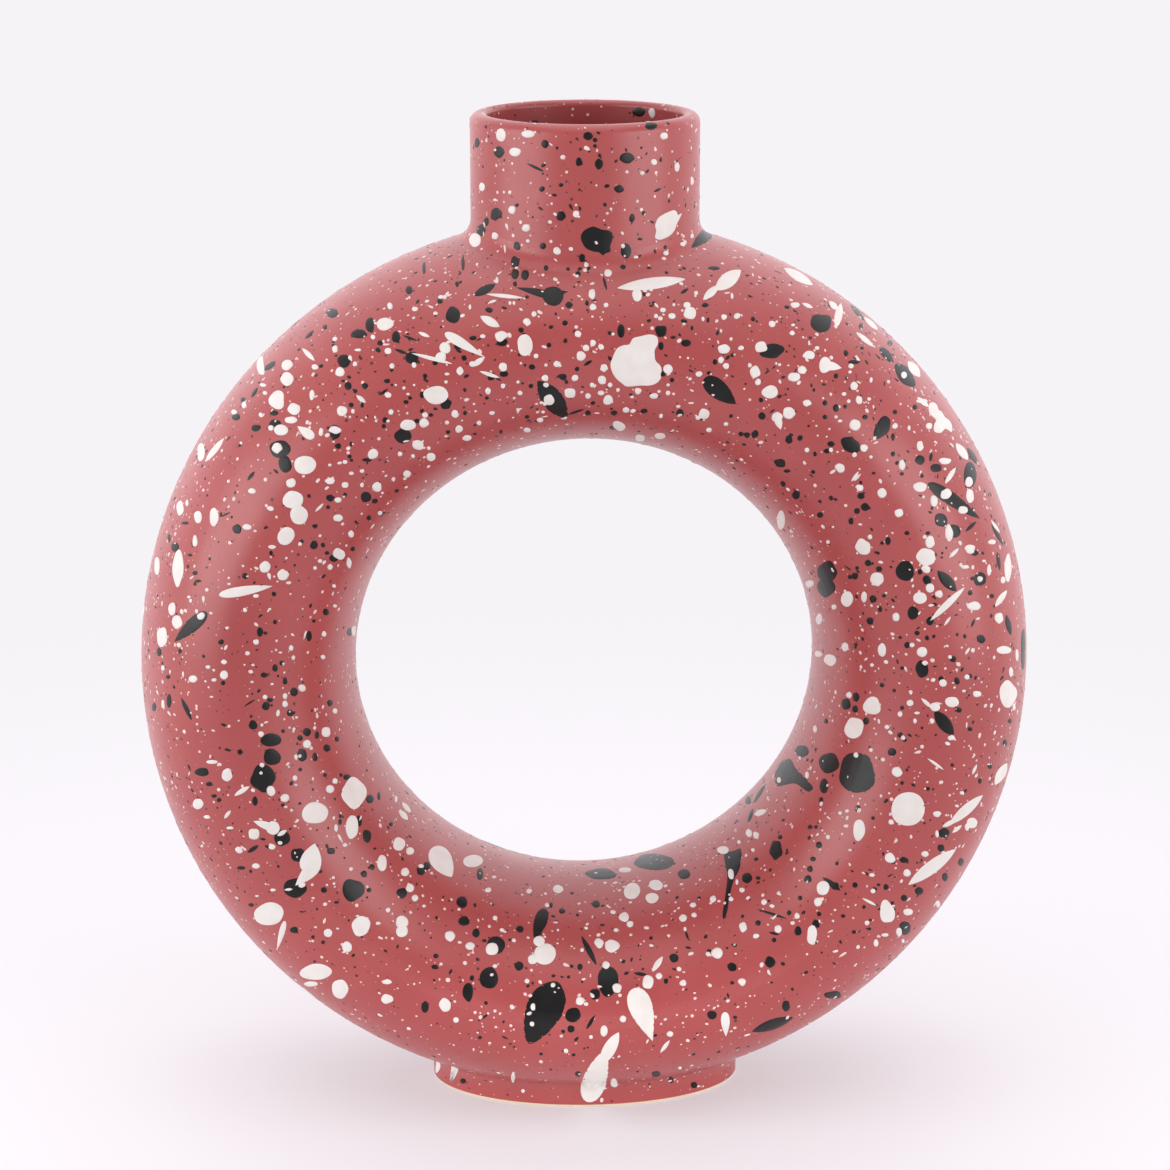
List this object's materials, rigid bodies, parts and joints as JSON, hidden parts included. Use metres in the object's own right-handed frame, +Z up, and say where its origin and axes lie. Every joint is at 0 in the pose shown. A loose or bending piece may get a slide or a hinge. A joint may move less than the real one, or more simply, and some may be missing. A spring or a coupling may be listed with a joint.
{
  "type": "ring vase",
  "caption": "Ring-shaped hollow ceramic vase with a round neck on top and an oval foot, in a satin splattered glaze.",
  "frame": {"origin": "on the table, under the ring's centre", "axes": "+X to the viewer's right, +Y to the back along the ring's own axis, +Z up through the neck"},
  "size_m": [0.2238, 0.0818, 0.251],
  "materials": {
    "clay": "matte bisque",
    "joining_slip": "matte bisque",
    "splatter_glaze": "satin pink with black and white splatter",
    "liner_glaze": "satin"
  },
  "bodies": {
    "root": {"ring_front_half": "clay", "ring_back_half": "clay", "neck": "clay", "foot": "clay", "ring_joint_slip": "joining_slip", "neck_joint_slip": "joining_slip", "foot_joint_slip": "joining_slip", "glaze_coat": "splatter_glaze", "liner_glaze": "liner_glaze"}
  },
  "joints": []
}
